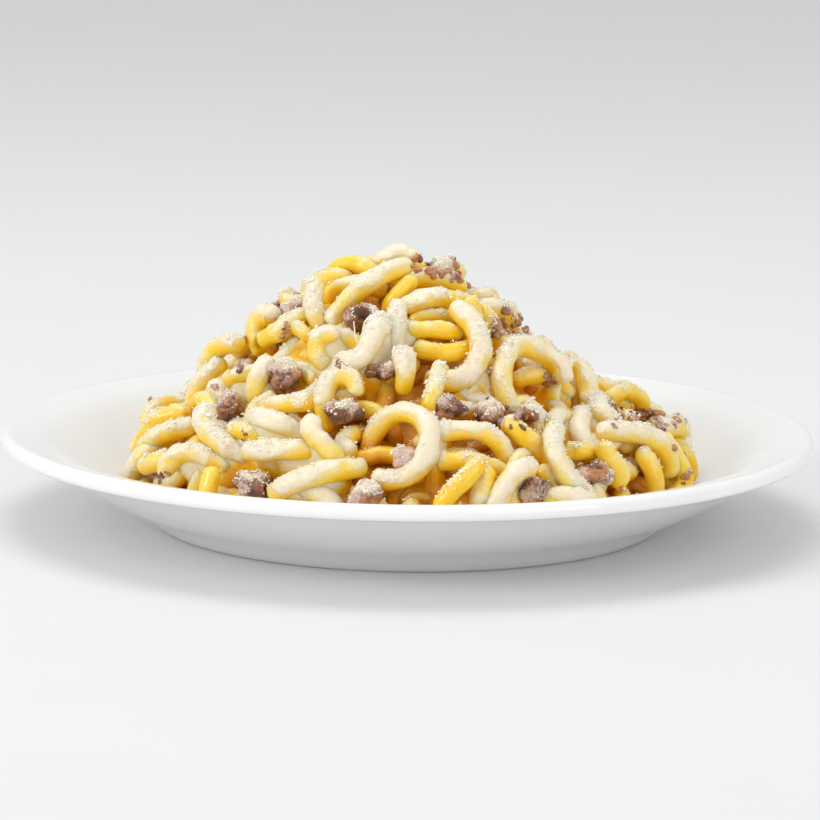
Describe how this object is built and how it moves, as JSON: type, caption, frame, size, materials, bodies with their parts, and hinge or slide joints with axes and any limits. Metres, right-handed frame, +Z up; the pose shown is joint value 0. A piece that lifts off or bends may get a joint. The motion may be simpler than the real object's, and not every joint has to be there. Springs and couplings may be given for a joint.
{
  "type": "plate of pasta",
  "caption": "Short curled noodles with crumbled sausage in a cream sauce, heaped in a round rimmed white plate.",
  "frame": {"origin": "centre of the plate's base, on the surface that it stands on", "axes": "+Z up, -Y towards the shown side, +X to the right of the shown side"},
  "size_m": [0.24, 0.24, 0.0816],
  "materials": {
    "glaze": "gloss",
    "pasta": "satin",
    "sauce": "satin",
    "sausage": "satin",
    "cheese": "matte"
  },
  "bodies": {
    "root": {"plate": "glaze", "pasta_heap": "pasta", "sausage_01": "sausage", "sausage_02": "sausage", "sausage_03": "sausage", "sausage_04": "sausage", "sausage_05": "sausage", "sausage_06": "sausage", "sausage_07": "sausage", "sausage_08": "sausage", "sausage_09": "sausage", "sausage_10": "sausage", "sausage_11": "sausage", "sausage_12": "sausage", "sausage_13": "sausage", "sausage_14": "sausage", "sausage_15": "sausage", "sausage_16": "sausage", "sausage_17": "sausage", "sausage_18": "sausage", "sausage_19": "sausage", "sausage_20": "sausage", "sausage_21": "sausage", "sausage_22": "sausage", "sausage_23": "sausage", "sausage_24": "sausage", "sausage_25": "sausage", "sausage_26": "sausage", "sausage_27": "sausage", "sausage_28": "sausage"}
  },
  "joints": []
}
